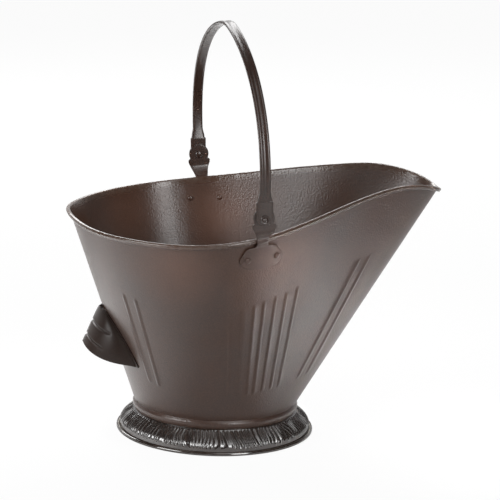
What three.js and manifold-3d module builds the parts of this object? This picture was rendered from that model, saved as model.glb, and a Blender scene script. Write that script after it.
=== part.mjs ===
// Coal scuttle: egg-shaped sheet steel bucket with a pouring lip, a flared foot ring,
// a rear tilting grip and a swinging bail handle. Millimetres, +Z up, +X towards the lip.
import * as THREE from 'three';
import { mergeVertices } from 'three/addons/utils/BufferGeometryUtils.js';
import Module from 'manifold-3d';

// ---------------------------------------------------------------- driving dimensions
const CLEARANCE = 0.3; // air left between two pieces that touch
const SHEET = 1.0; // steel sheet of the body, pan and foot ring

// Rim, as control points of a closed smooth curve through the middle of its wire:
// forward, half width, height above the floor, and the direction, in degrees from +X,
// in which the straight line of the sheet below each point meets the base circle.
const RIM_POINTS = [
  [255, 0, 275.5, 0],
  [250.5, 33.5, 283.5, 29],
  [206, 61.5, 295.5, 52],
  [159, 80, 289.5, 58],
  [110, 111, 279.5, 63],
  [59, 139.5, 267.5, 70],
  [2, 167.5, 257, 83],
  [-65, 165.5, 251, 108],
  [-121.5, 126, 250.5, 133],
  [-163, 71, 250.5, 156],
  [-177.5, 0, 257.5, 180],
];
const RIM_WIRE_RADIUS = 1.3;

// Lower end of the body: a short upright band with a swaged step at its top
const BASE_RADIUS = 93.6; // outside of the sheet where the tapered wall starts
const BAND_TOP = 36;
const BAND_HEIGHT = 10.5;
const BAND_STEP = 1.5; // how far the swage stands out
const BAND_TAPER = 0.6; // how much the band draws in at its lower edge

// Bottom pan
const PAN_FLANGE_HEIGHT = 4.5;
const PAN_RAISE = 1.5; // the middle stands this much higher than the edge
const PAN_FLAT_RADIUS = 74;

// Foot ring
const FOOT_RADIUS = 113.2; // overall
const FOOT_WIRE_RADIUS = 1.1;
const FOOT_SHELF = 9; // inward flange that the body stands on
const FOOT_DROP = 6; // height over which the skirt turns upright above the rolled edge

// Embossed ribs, alike on both sides: [forward, height] of the upper and lower end
const RIB_HALF_WIDTH = 3;
const RIB_RISE = 1.4;
const RIB_SINK = 0.5; // depth to which the rib's solid reaches into the sheet
const CENTRE_RIBS = 7;
const CENTRE_RIB_FRONT = [[66, 191], [54.5, 75]];
const CENTRE_RIB_BACK = [[-17, 170], [-8.5, 69]];
const FRONT_RIBS = [[[145.5, 210], [80.5, 80]], [[159.5, 213], [93.5, 82]]];
const REAR_RIBS = [[[-124, 177.5], [-90.5, 77.5]], [[-113.5, 175.5], [-82, 75]]];

// Ear plates
const EAR_FORWARD = 11.5; // place of the ear's middle along the rim
const EAR_TILT = 4.5; // degrees that the ear leans back, square to the rim
const EAR_THICKNESS = 2.5;
const EAR_STANDOFF = 11; // from the rim bead's outside to the tab's inner face
const EAR_TAB_RADIUS = 11.5;
const EAR_NECK_HALF_WIDTH = 6.5;
const EAR_SHOULDER_HALF_WIDTH = 12.6;
const EAR_WING_HALF_WIDTH = 25;
const EAR_WING_DROP = 33; // wing's lower edge below the rim
const EAR_RIVET_INSET = 8.2; // each rivet's distance in from the wing's side
const EAR_RIVET_DROP = 21.5; // rivets below the rim
const EAR_RIVET_RADIUS = 2;
const RIVET_AIR = 0.6; // left under the rivets' inner heads, where the wall is hollow
const PIVOT_RISE = 26.5; // pivot above the rim, along the ear
const PIVOT_RADIUS = 2.8;
const PIVOT_HEAD_RADIUS = 5;

// Bail handle
const BAIL_HEIGHT = 184.5; // from the pivots to the middle of the strap at its top
const BAIL_LEAN = -2; // degrees, backwards
const BAIL_SHOULDER = 140; // length of the side arm of its curve above the flat ends
const BAIL_BULGE = 28.5; // how far that arm leans out
const BAIL_CROWN = 34; // half length of the level arm of its curve at the top
const BAIL_HALF_WIDTH = 5.9; // strap
const BAIL_THICKNESS = 4.4;
const BAIL_PLATE_HALF_WIDTH = 9.2;
const BAIL_PLATE_THICKNESS = 3.6;
const BAIL_PLATE_LENGTH = 17; // flat end above the pivot
const BAIL_FLARE = 12; // length over which the plate draws in to the strap
const BAIL_TOE = 6.4; // plate's rounded end below the pivot

// Rear tilting grip
const GRIP_TOP = 148; // height of its upper end
const GRIP_BOTTOM = 89; // height of its lower corners on the wall
const GRIP_HALF_WIDTH = 48.5;
const GRIP_FULLNESS = 0.94; // 1 makes its ribs half ovals, less makes them squarer
const GRIP_TIP_HEIGHT = 107;
const GRIP_REACH = 37; // tip's distance out from the wall
const GRIP_SAG = 6; // how far the lower edge dips between the tip and each corner
const GRIP_SHEET = 1.2;
const GRIP_FLANGE = 3.5;
const GRIP_GROOVE_DEPTH = 2;
const GRIP_GROOVES = [[0.42, 24], [0.78, 44]]; // place down the grip, degrees left plain at each end
const GRIP_GROOVE_WIDTH = 0.055; // as a share of the grip's height
const GRIP_GROOVE_FADE = 14; // degrees over which a groove runs out

// ---------------------------------------------------------------- derived sizes
const BEAD_INNER = RIM_WIRE_RADIUS + CLEARANCE;
const BEAD_OUTER = BEAD_INNER + SHEET;
const BAND_BOTTOM = BAND_TOP - BAND_HEIGHT;
const NECK_RADIUS = BASE_RADIUS - BAND_TAPER;
const SHELF_TOP = BAND_BOTTOM - CLEARANCE;
const EAR_RIVET_SPREAD = EAR_WING_HALF_WIDTH - EAR_RIVET_INSET;
const EAR_HOLE = EAR_RIVET_RADIUS + CLEARANCE;
const PIVOT_HOLE = PIVOT_RADIUS + CLEARANCE;

// ---------------------------------------------------------------- colours
const paint = (color, roughness) => new THREE.MeshStandardMaterial({ color, roughness, metalness: 0.35 });
const PAINT = {
  body: paint(0x4b3b35, 0.4),
  foot: paint(0x3a302b, 0.45),
  handle: paint(0x44352f, 0.38),
  grip: paint(0x382d28, 0.42),
  wire: new THREE.MeshStandardMaterial({ color: 0x77736e, roughness: 0.5, metalness: 1 }),
};

// ---------------------------------------------------------------- mesh helpers
const wasm = await Module();
wasm.setup();

const radians = THREE.MathUtils.degToRad;
const lerp = THREE.MathUtils.lerp;
const SIDEWAYS = new THREE.Vector3(0, 1, 0);
const mirrorY = (point) => new THREE.Vector3(point.x, -point.y, point.z);

// Turns a geometry into a solid, facing out whichever way its faces were listed
function solidOf(geometry) {
  const bare = geometry.index ? geometry.clone() : geometry;
  bare.deleteAttribute('normal');
  bare.deleteAttribute('uv');
  const merged = mergeVertices(bare, 1e-4);
  const vertProperties = Float32Array.from(merged.attributes.position.array);
  const triVerts = Uint32Array.from(merged.index.array);
  const solid = new wasm.Manifold(new wasm.Mesh({ numProp: 3, vertProperties, triVerts }));
  if (solid.volume() > 0) return solid;
  for (let i = 0; i < triVerts.length; i += 3) {
    [triVerts[i], triVerts[i + 1]] = [triVerts[i + 1], triVerts[i]];
  }
  return new wasm.Manifold(new wasm.Mesh({ numProp: 3, vertProperties, triVerts }));
}

function geometryOf(solid) {
  const mesh = solid.getMesh();
  const geometry = new THREE.BufferGeometry();
  geometry.setAttribute('position', new THREE.BufferAttribute(mesh.vertProperties, 3));
  geometry.setIndex(new THREE.BufferAttribute(mesh.triVerts, 1));
  geometry.computeVertexNormals();
  return geometry;
}

// Skins a run of equal closed loops of points; the run either closes on itself or is capped
function loft(loops, closed) {
  const size = loops[0].length;
  const positions = loops.flat().flatMap((point) => [point.x, point.y, point.z]);
  const index = [];
  const spans = closed ? loops.length : loops.length - 1;
  for (let i = 0; i < spans; i += 1) {
    const here = i * size;
    const next = ((i + 1) % loops.length) * size;
    for (let j = 0; j < size; j += 1) {
      const k = (j + 1) % size;
      index.push(here + j, next + j, next + k, here + j, next + k, here + k);
    }
  }
  if (!closed) {
    index.push(...capOf(loops[0], 0, true), ...capOf(loops.at(-1), (loops.length - 1) * size, false));
  }
  const geometry = new THREE.BufferGeometry();
  geometry.setAttribute('position', new THREE.BufferAttribute(new Float32Array(positions), 3));
  geometry.setIndex(index);
  return geometry;
}

// Triangles that close one end of a loft, worked out in the loop's own plane
function capOf(loop, first, atStart) {
  const normal = new THREE.Vector3();
  loop.forEach((point, i) => {
    const next = loop[(i + 1) % loop.length];
    normal.add(new THREE.Vector3().crossVectors(point, next));
  });
  normal.normalize();
  const across = new THREE.Vector3().subVectors(loop[1], loop[0]).projectOnPlane(normal).normalize();
  const along = new THREE.Vector3().crossVectors(normal, across);
  const flat = loop.map((point) => new THREE.Vector2(point.dot(across), point.dot(along)));
  return THREE.ShapeUtils.triangulateShape(flat, []).flatMap(([a, b, c]) => (
    atStart ? [first + a, first + b, first + c] : [first + a, first + c, first + b]
  ));
}

// Turned solid: profile of [radius, height] along an axis from a point in a direction
function turned(profile, segments, origin = new THREE.Vector3(), direction = new THREE.Vector3(0, 0, 1)) {
  const points = profile.map(([radius, height]) => new THREE.Vector2(radius, height));
  const geometry = new THREE.LatheGeometry(points, segments);
  const turn = new THREE.Quaternion().setFromUnitVectors(new THREE.Vector3(0, 1, 0), direction);
  geometry.applyQuaternion(turn);
  geometry.translate(origin.x, origin.y, origin.z);
  return solidOf(geometry);
}

const DRILL_SIDES = 14;
const DRILL_REACH = 10; // to each side of the sheet that is drilled

function drill(radius, point, direction, reach = DRILL_REACH) {
  const start = point.clone().addScaledVector(direction, -reach);
  return turned([[0, 0], [radius, 0], [radius, 2 * reach], [0, 2 * reach]], DRILL_SIDES, start, direction);
}

// ---------------------------------------------------------------- rim curve and tapered wall
const SPANS = RIM_POINTS.length - 1; // from the lip, u = 0, round one side to the back, u = SPANS

function rimControl(index) {
  const turnsRound = Math.floor(index / (2 * SPANS));
  const place = index - turnsRound * 2 * SPANS;
  const [x, y, z, base] = RIM_POINTS[place <= SPANS ? place : 2 * SPANS - place];
  const angle = place <= SPANS ? base : 360 - base;
  return [x, place <= SPANS ? y : -y, z, angle + 360 * turnsRound];
}

// Uniform cubic B-spline of the rim's control points
function rimAt(u) {
  const span = Math.floor(u);
  const t = u - span;
  const weights = [(1 - t) ** 3, 3 * t ** 3 - 6 * t ** 2 + 4, -3 * t ** 3 + 3 * t ** 2 + 3 * t + 1, t ** 3];
  const sum = [0, 0, 0, 0];
  weights.forEach((weight, k) => {
    rimControl(span - 1 + k).forEach((value, axis) => {
      sum[axis] += weight * value / 6;
    });
  });
  return { centre: new THREE.Vector3(sum[0], sum[1], sum[2]), baseAngle: radians(sum[3]) };
}

// One straight line of the wall, with the frame that the bead is curled in
function wallLine(u) {
  const { centre, baseAngle } = rimAt(u);
  const step = 1e-3;
  const along = rimAt(u + step).centre.sub(rimAt(u - step).centre).normalize();
  const spoke = new THREE.Vector3(Math.cos(baseAngle), Math.sin(baseAngle), 0);
  const foot = spoke.clone().multiplyScalar(BASE_RADIUS).setZ(BAND_TOP);
  const rising = centre.clone().sub(foot).normalize();
  const outward = new THREE.Vector3().crossVectors(along, rising).normalize();
  const upward = new THREE.Vector3().crossVectors(outward, along).normalize();
  const head = centre.clone().addScaledVector(outward, -BEAD_INNER);
  return { centre, spoke, foot, head, outward, upward };
}

// Point on the wall's outer face at a height, moved off it by a distance
function wallPoint(u, height, off = 0) {
  const { foot, head, outward } = wallLine(u);
  const t = (height - foot.z) / (head.z - foot.z);
  return foot.clone().lerp(head, t).addScaledVector(outward, off);
}

// Halves a stretch of the rim parameter until a falling measure reaches its target
function solveFalling(measure, target, low, high) {
  let [from, to] = [low, high];
  for (let i = 0; i < 40; i += 1) {
    const middle = (from + to) / 2;
    if (measure(middle) > target) from = middle;
    else to = middle;
  }
  return (from + to) / 2;
}

const sideU = (x, height) => solveFalling((u) => wallPoint(u, height).x, x, 0, SPANS);
const rearU = (y, height) => solveFalling((u) => wallPoint(u, height).y, y, SPANS * 0.7, SPANS);
const rimU = (x) => solveFalling((u) => rimAt(u).centre.x, x, 0, SPANS);

// ---------------------------------------------------------------- body shell
const RIM_COLUMNS = 68;
const CURL_OUTSIDE = [135, 85, 35, -15, -65, -120];
const CURL_INSIDE = [-120, -60, 0, 60, 120];

// Band profile below the tapered wall: [outer radius, height], from the top down
const BAND_PROFILE = [
  [BASE_RADIUS, BAND_TOP],
  [BASE_RADIUS + BAND_STEP, BAND_TOP - BAND_HEIGHT * 0.14],
  [BASE_RADIUS - BAND_TAPER * 0.2, BAND_TOP - BAND_HEIGHT * 0.7],
  [NECK_RADIUS, BAND_BOTTOM],
];

function curlPoint(line, degrees, radius) {
  const angle = radians(degrees);
  return line.centre.clone()
    .addScaledVector(line.outward, radius * Math.cos(angle))
    .addScaledVector(line.upward, radius * Math.sin(angle));
}

function bodySection(u) {
  const line = wallLine(u);
  const bandPoint = (shift) => ([radius, height]) => (
    line.spoke.clone().multiplyScalar(radius - shift).setZ(height)
  );
  return [
    ...BAND_PROFILE.toReversed().map(bandPoint(SHEET)),
    curlPoint(line, 180, BEAD_OUTER),
    ...CURL_OUTSIDE.map((degrees) => curlPoint(line, degrees, BEAD_OUTER)),
    ...CURL_INSIDE.map((degrees) => curlPoint(line, degrees, BEAD_INNER)),
    curlPoint(line, 180, BEAD_INNER),
    ...BAND_PROFILE.map(bandPoint(0)),
  ];
}

const rimParameters = Array.from({ length: RIM_COLUMNS }, (_, i) => (i * 2 * SPANS) / RIM_COLUMNS);

// A rib is a low half-round bar that follows the wall and fades out at both ends
const RIB_STATIONS = [[0, 0.25], [0.05, 1], [0.5, 1], [0.95, 1], [1, 0.25]];
const RIB_SECTION = [[-1, 0], [-0.4, 1], [0.4, 1], [1, 0]];

function rib([[topX, topZ], [bottomX, bottomZ]]) {
  const top = wallPoint(sideU(topX, topZ), topZ);
  const down = wallPoint(sideU(bottomX, bottomZ), bottomZ).sub(top).normalize();
  return RIB_STATIONS.map(([share, fullness]) => {
    const height = lerp(topZ, bottomZ, share);
    const u = sideU(lerp(topX, bottomX, share), height);
    const { outward } = wallLine(u);
    const across = new THREE.Vector3().crossVectors(outward, down).normalize();
    const middle = wallPoint(u, height);
    const at = (side, rise) => middle.clone()
      .addScaledVector(across, side * RIB_HALF_WIDTH * fullness)
      .addScaledVector(outward, rise);
    const crown = RIB_SECTION.map(([side, rise]) => at(side, rise * RIB_RISE * fullness));
    return [...crown, at(1, -RIB_SINK), at(-1, -RIB_SINK)];
  });
}

function ribEnds() {
  const centre = Array.from({ length: CENTRE_RIBS }, (_, i) => {
    const share = i / (CENTRE_RIBS - 1);
    return CENTRE_RIB_FRONT.map(([x, z], end) => [
      lerp(x, CENTRE_RIB_BACK[end][0], share),
      lerp(z, CENTRE_RIB_BACK[end][1], share),
    ]);
  });
  return [...centre, ...FRONT_RIBS, ...REAR_RIBS];
}

function bodyShell() {
  let shell = solidOf(loft(rimParameters.map(bodySection), true));
  for (const ends of ribEnds()) {
    const loops = rib(ends);
    shell = shell.add(solidOf(loft(loops, false)));
    shell = shell.add(solidOf(loft(loops.map((loop) => loop.map(mirrorY)), false)));
  }
  for (const { point, outward } of earRivetSeats()) {
    shell = shell.subtract(drill(EAR_HOLE, point, outward));
  }
  return shell;
}

// ---------------------------------------------------------------- wires, pan and foot
const WIRE_SIDES = 6;

function rimWire() {
  const loops = rimParameters.map((u) => {
    const line = wallLine(u);
    const side = (_, i) => curlPoint(line, (i * 360) / WIRE_SIDES, RIM_WIRE_RADIUS);
    return Array.from({ length: WIRE_SIDES }, side);
  });
  return solidOf(loft(loops, true));
}

const RING_SEGMENTS = 60;

function bottomPan() {
  const radius = NECK_RADIUS - SHEET - CLEARANCE;
  const floor = SHELF_TOP + CLEARANCE;
  const raised = floor + PAN_RAISE;
  return turned([
    [0, raised],
    [PAN_FLAT_RADIUS - PAN_RAISE, raised],
    [PAN_FLAT_RADIUS, floor],
    [radius, floor],
    [radius, floor + PAN_FLANGE_HEIGHT],
    [radius - SHEET, floor + PAN_FLANGE_HEIGHT],
    [radius - SHEET, floor + SHEET],
    [PAN_FLAT_RADIUS + SHEET / 2, floor + SHEET],
    [PAN_FLAT_RADIUS - PAN_RAISE + SHEET / 2, raised + SHEET],
    [0, raised + SHEET],
  ], RING_SEGMENTS);
}

// Foot edge rolled outward round its wire, with a narrow flat to stand on
const FOOT_EDGE_INNER = FOOT_WIRE_RADIUS + CLEARANCE;
const FOOT_EDGE_OUTER = FOOT_EDGE_INNER + SHEET;
const FOOT_EDGE_RADIUS = FOOT_RADIUS - FOOT_EDGE_OUTER; // of the wire's middle, from the axis
const FLAT_HALF_ANGLE = 18;
const FOOT_EDGE_HEIGHT = FOOT_EDGE_OUTER * Math.cos(radians(FLAT_HALF_ANGLE));
const ROLL_OUTSIDE = [180, 270 - FLAT_HALF_ANGLE, 270 + FLAT_HALF_ANGLE, 335, 380, 432];
const ROLL_INSIDE = [432, 378, 324, 270, 216, 180];

function rollPoint(degrees, radius) {
  const angle = radians(degrees);
  return [FOOT_EDGE_RADIUS + radius * Math.cos(angle), FOOT_EDGE_HEIGHT + radius * Math.sin(angle)];
}

// Outer face of the skirt from the neck down: a quarter turn that bells out, then upright
function skirtProfile(shift) {
  const foot = FOOT_EDGE_RADIUS - FOOT_EDGE_INNER;
  const low = FOOT_EDGE_HEIGHT + FOOT_DROP;
  const bell = [0, 0.33, 0.66, 1].map((share) => {
    const swell = Math.sin(share * Math.PI / 2) ** 1.25;
    const height = lerp(SHELF_TOP, low, share);
    return [lerp(NECK_RADIUS, foot - FOOT_DROP * 0.12, swell) - shift, height - shift * (1 - share)];
  });
  return [...bell, [foot - shift, FOOT_EDGE_HEIGHT]];
}

function footRing() {
  const outer = skirtProfile(0);
  const inner = skirtProfile(SHEET);
  const shelf = NECK_RADIUS - FOOT_SHELF;
  return turned([
    [shelf, SHELF_TOP - SHEET],
    ...inner.slice(0, -1),
    ...ROLL_OUTSIDE.map((degrees) => rollPoint(degrees, FOOT_EDGE_OUTER)),
    ...ROLL_INSIDE.map((degrees) => rollPoint(degrees, FOOT_EDGE_INNER)),
    ...outer.slice(0, -1).toReversed(),
    [shelf, SHELF_TOP],
    [shelf, SHELF_TOP - SHEET],
  ], RING_SEGMENTS);
}

function footWire() {
  const sides = 6;
  const loop = Array.from({ length: sides + 1 }, (_, i) => rollPoint((i * 360) / sides, FOOT_WIRE_RADIUS));
  return turned(loop, RING_SEGMENTS);
}

// ---------------------------------------------------------------- ears and their rivets
// Ear frame: a across the plate and h up it from the middle of the rim bead
const earU = rimU(EAR_FORWARD);
const earRim = rimAt(earU).centre;
const tabInner = earRim.y + BEAD_OUTER + EAR_STANDOFF;

function earPlace(a, h) {
  const tilt = radians(EAR_TILT);
  return {
    x: earRim.x + a * Math.cos(tilt) - h * Math.sin(tilt),
    z: earRim.z + a * Math.sin(tilt) + h * Math.cos(tilt),
  };
}

function earWall(a, h) {
  const { x, z } = earPlace(a, h);
  const u = sideU(x, z);
  return { point: wallPoint(u, z), outward: wallLine(u).outward };
}

const pivot = earPlace(0, PIVOT_RISE);

// Inner face of the ear and its thickness, both along Y, at a height on the plate
const EAR_BENDS = { wingTop: -6.5, beadLow: -3.4, beadHigh: 1.5, tabLow: 12 };

function earSkin(a, h) {
  const lowWall = earWall(a, Math.min(h, EAR_BENDS.wingTop));
  const wing = lowWall.point.y + CLEARANCE / lowWall.outward.y;
  const wingThickness = EAR_THICKNESS / lowWall.outward.y;
  const bead = rimAt(rimU(earPlace(a, 0).x)).centre.y + BEAD_OUTER + CLEARANCE;
  if (h <= EAR_BENDS.wingTop) return [wing, wingThickness];
  if (h < EAR_BENDS.beadLow) {
    const share = (h - EAR_BENDS.wingTop) / (EAR_BENDS.beadLow - EAR_BENDS.wingTop);
    return [lerp(wing, bead, share), wingThickness];
  }
  if (h <= EAR_BENDS.beadHigh) return [bead, EAR_THICKNESS];
  const share = Math.min(1, (h - EAR_BENDS.beadHigh) / (EAR_BENDS.tabLow - EAR_BENDS.beadHigh));
  return [lerp(bead, tabInner, share), EAR_THICKNESS];
}

// Outline of the right half of the plate, from the wing's lower edge up to the tab
function earOutline() {
  const half = [
    [EAR_WING_HALF_WIDTH * 0.3, -EAR_WING_DROP],
    [EAR_WING_HALF_WIDTH * 0.72, -EAR_WING_DROP + 2.5],
    [EAR_WING_HALF_WIDTH * 0.95, -EAR_WING_DROP + 9],
    [EAR_WING_HALF_WIDTH, -EAR_RIVET_DROP + 2],
    [EAR_WING_HALF_WIDTH * 0.78, -8.5],
    [EAR_WING_HALF_WIDTH * 0.48, -7.2],
    [EAR_NECK_HALF_WIDTH + 1.2, -4.5],
    [EAR_NECK_HALF_WIDTH, 0],
    [EAR_NECK_HALF_WIDTH + 1.4, 5],
    [EAR_SHOULDER_HALF_WIDTH, PIVOT_RISE - 9.5],
    [EAR_SHOULDER_HALF_WIDTH, PIVOT_RISE - 6],
    [EAR_TAB_RADIUS * 0.94, PIVOT_RISE - EAR_TAB_RADIUS * 0.34],
    ...[15, 45, 75].map((degrees) => [
      EAR_TAB_RADIUS * Math.cos(radians(degrees)),
      PIVOT_RISE + EAR_TAB_RADIUS * Math.sin(radians(degrees)),
    ]),
  ];
  return [...half, ...half.toReversed().map(([a, h]) => [-a, h])];
}

function earPlate() {
  const columns = Array.from({ length: 7 }, (_, i) => lerp(-1.1, 1.1, i / 6) * EAR_WING_HALF_WIDTH);
  const top = PIVOT_RISE + EAR_TAB_RADIUS + 2;
  const rows = [-EAR_WING_DROP - 2, -20, ...Object.values(EAR_BENDS), top];
  const place = (a, h, y) => new THREE.Vector3(earPlace(a, h).x, y, earPlace(a, h).z);
  const loops = columns.map((a) => [
    ...rows.map((h) => place(a, h, earSkin(a, h)[0])),
    ...rows.toReversed().map((h) => place(a, h, earSkin(a, h)[0] + earSkin(a, h)[1])),
  ]);
  const strip = solidOf(loft(loops, false));
  const reach = 60;
  const outline = earOutline();
  const cutter = [tabInner - reach, tabInner + reach].map((y) => outline.map(([a, h]) => place(a, h, y)));
  let plate = strip.intersect(solidOf(loft(cutter, false)));
  for (const { point, outward } of earRivetSeats().slice(0, 2)) {
    plate = plate.subtract(drill(EAR_HOLE, point, outward));
  }
  return plate.subtract(drill(PIVOT_HOLE, new THREE.Vector3(pivot.x, tabInner, pivot.z), SIDEWAYS));
}

// Where each ear rivet goes through the wall: left rear, left front, right rear, right front
function earRivetSeats() {
  const left = [-1, 1].map((side) => earWall(side * EAR_RIVET_SPREAD, -EAR_RIVET_DROP));
  const right = left.map(({ point, outward }) => ({ point: mirrorY(point), outward: mirrorY(outward) }));
  return [...left, ...right];
}

function earRivet({ point, outward }) {
  const seat = EAR_THICKNESS + 2 * CLEARANCE;
  const tail = -SHEET - RIVET_AIR;
  return turned([
    [0, tail - 1.3],
    [EAR_RIVET_RADIUS * 1.1, tail - 0.9],
    [EAR_RIVET_RADIUS * 1.6, tail],
    [EAR_RIVET_RADIUS, tail],
    [EAR_RIVET_RADIUS, seat],
    [EAR_RIVET_RADIUS * 1.8, seat],
    [EAR_RIVET_RADIUS * 1.5, seat + 1.1],
    [EAR_RIVET_RADIUS * 0.8, seat + 1.8],
    [0, seat + 2],
  ], 12, point, outward);
}

// ---------------------------------------------------------------- bail and pivot rivets
const plateInner = tabInner + EAR_THICKNESS + CLEARANCE;
const bailHalfSpan = plateInner + BAIL_PLATE_THICKNESS / 2;

// Middle line of half the bail, from the flat end up to the top: sideways and up
const bailCurve = new THREE.CubicBezierCurve(
  new THREE.Vector2(bailHalfSpan, BAIL_PLATE_LENGTH),
  new THREE.Vector2(bailHalfSpan + BAIL_BULGE, BAIL_PLATE_LENGTH + BAIL_SHOULDER),
  new THREE.Vector2(BAIL_CROWN, BAIL_HEIGHT),
  new THREE.Vector2(0, BAIL_HEIGHT),
);
const BAIL_STEPS = 26;

// Strap section: [width share, thickness share], two ridges with a valley on the outer face
const STRAP_SECTION = [
  [-1, -1], [1, -1], [1, 0.1], [0.62, 1], [0.2, 0.4], [-0.2, 0.4], [-0.62, 1], [-1, 0.1],
];
const PLATE_SECTION = STRAP_SECTION.map(([width, thick]) => [width, thick < 0 ? -1 : 1]);

// The section at a place on the middle line, turned square to the direction of the run
function bailSection(place, run, halfWidth, thickness, section) {
  return section.map(([width, thick]) => {
    const depth = (thick * thickness) / 2;
    return new THREE.Vector3(width * halfWidth, place.x + run.y * depth, place.y - run.x * depth);
  });
}

function bailHandle() {
  const end = [
    [-BAIL_TOE, 0.35],
    [-BAIL_TOE * 0.78, 0.66],
    [-BAIL_TOE * 0.35, 0.9],
    [BAIL_TOE * 0.4, 1],
    [BAIL_PLATE_LENGTH, 1],
  ];
  const straight = new THREE.Vector2(0, 1);
  const plateSections = end.map(([up, share]) => {
    const place = new THREE.Vector2(bailHalfSpan, up);
    return bailSection(place, straight, BAIL_PLATE_HALF_WIDTH * share, BAIL_PLATE_THICKNESS, PLATE_SECTION);
  });
  const first = BAIL_FLARE / bailCurve.getLength();
  const archSections = Array.from({ length: BAIL_STEPS + 1 }, (_, i) => {
    const share = lerp(first, 1, i / BAIL_STEPS);
    const place = bailCurve.getPointAt(share);
    const run = bailCurve.getTangentAt(share);
    return bailSection(place, run, BAIL_HALF_WIDTH, BAIL_THICKNESS, STRAP_SECTION);
  });
  const half = [...plateSections, ...archSections];
  const other = half.slice(0, -1).toReversed().map((loop) => loop.map(mirrorY));
  let handle = solidOf(loft([...half, ...other], false));
  handle = handle.subtract(drill(PIVOT_HOLE, new THREE.Vector3(), SIDEWAYS, bailHalfSpan + DRILL_REACH));
  return handle.rotate([0, BAIL_LEAN, 0]).translate([pivot.x, 0, pivot.z]);
}

function pivotRivet() {
  const tail = tabInner - CLEARANCE;
  const seat = plateInner + BAIL_PLATE_THICKNESS + CLEARANCE;
  return turned([
    [0, tail - 1.8],
    [PIVOT_RADIUS, tail - 1.6],
    [PIVOT_HEAD_RADIUS * 0.9, tail],
    [PIVOT_RADIUS, tail],
    [PIVOT_RADIUS, seat],
    [PIVOT_HEAD_RADIUS, seat],
    [PIVOT_HEAD_RADIUS, seat + 0.8],
    [PIVOT_HEAD_RADIUS * 0.68, seat + 1.4],
    [PIVOT_HEAD_RADIUS * 0.4, seat + 2.6],
    [0, seat + 2.9],
  ], 18, new THREE.Vector3(pivot.x, 0, pivot.z), SIDEWAYS);
}

// ---------------------------------------------------------------- rear grip
const GRIP_START = 0.02; // the first rib's place, just below the closed upper end
const GRIP_STATIONS = 14;
const GRIP_ARC = 16;

// One rib of the hood at a share of the way down: a flange, a half oval and a flange
function gripSection(share, inset) {
  const height = lerp(GRIP_TOP, GRIP_BOTTOM, share);
  const spread = Math.sqrt(1 - ((1 - share) * (1 - GRIP_START / 3)) ** 2);
  const halfWidth = GRIP_HALF_WIDTH * spread;
  const edge = wallPoint(rearU(halfWidth, height), height, CLEARANCE);
  const centre = new THREE.Vector3(edge.x, 0, height);
  const wallTop = wallPoint(SPANS, GRIP_TOP).x;
  const wallTip = wallPoint(SPANS, GRIP_TIP_HEIGHT).x;
  const ridge = new THREE.Vector3(
    lerp(wallTop - GRIP_SHEET * 3, wallTip - GRIP_REACH, share),
    0,
    lerp(GRIP_TOP, GRIP_TIP_HEIGHT, share),
  );
  const groove = (degrees) => GRIP_GROOVES.reduce((depth, [place, plain]) => {
    const across = Math.exp(-(((share - place) / GRIP_GROOVE_WIDTH) ** 2));
    const fade = THREE.MathUtils.smoothstep(90 - Math.abs(90 - degrees), plain, plain + GRIP_GROOVE_FADE);
    return depth + GRIP_GROOVE_DEPTH * across * fade;
  }, 0);
  const reach = ridge.clone().sub(centre);
  const arc = Array.from({ length: GRIP_ARC + 1 }, (_, i) => {
    const degrees = (180 * i) / GRIP_ARC;
    const angle = radians(degrees);
    const shrink = 1 - (inset + groove(degrees)) / Math.max(reach.length(), 6);
    const side = 1 - (inset + groove(degrees) * 0.5) / halfWidth;
    const across = Math.sign(Math.cos(angle)) * Math.abs(Math.cos(angle)) ** GRIP_FULLNESS;
    return centre.clone()
      .add(new THREE.Vector3(0, halfWidth * side * across, 0))
      .addScaledVector(reach, shrink * Math.max(0, Math.sin(angle)) ** GRIP_FULLNESS)
      .add(new THREE.Vector3(0, 0, -GRIP_SAG * share * Math.abs(Math.sin(2 * angle))));
  });
  return { arc, halfWidth, height };
}

function flangePoint(halfWidth, height, off) {
  return wallPoint(rearU(halfWidth, height), height, CLEARANCE + off);
}

function tiltGrip() {
  const loops = Array.from({ length: GRIP_STATIONS + 1 }, (_, i) => {
    const share = lerp(GRIP_START, 1, i / GRIP_STATIONS);
    const outer = gripSection(share, 0);
    const inner = gripSection(share, GRIP_SHEET);
    const tip = outer.halfWidth + GRIP_FLANGE;
    const root = outer.halfWidth - GRIP_SHEET;
    const left = [flangePoint(tip, outer.height, 0), flangePoint(tip, outer.height, GRIP_SHEET)];
    const right = left.map(mirrorY);
    return [
      left[0],
      left[1],
      flangePoint(outer.halfWidth, outer.height, GRIP_SHEET),
      ...outer.arc.slice(2, -2),
      mirrorY(flangePoint(outer.halfWidth, outer.height, GRIP_SHEET)),
      right[1],
      right[0],
      mirrorY(flangePoint(root, outer.height, 0)),
      ...inner.arc.slice(2, -2).toReversed(),
      flangePoint(root, outer.height, 0),
    ];
  });
  return solidOf(loft(loops, false));
}

// ---------------------------------------------------------------- assembly
const group = new THREE.Group();
group.name = 'coal_scuttle';

function addPiece(name, solid, material) {
  const mesh = new THREE.Mesh(geometryOf(solid), material);
  mesh.name = name;
  group.add(mesh);
}

const mirrored = (solid) => solid.mirror([0, 1, 0]);

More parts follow.
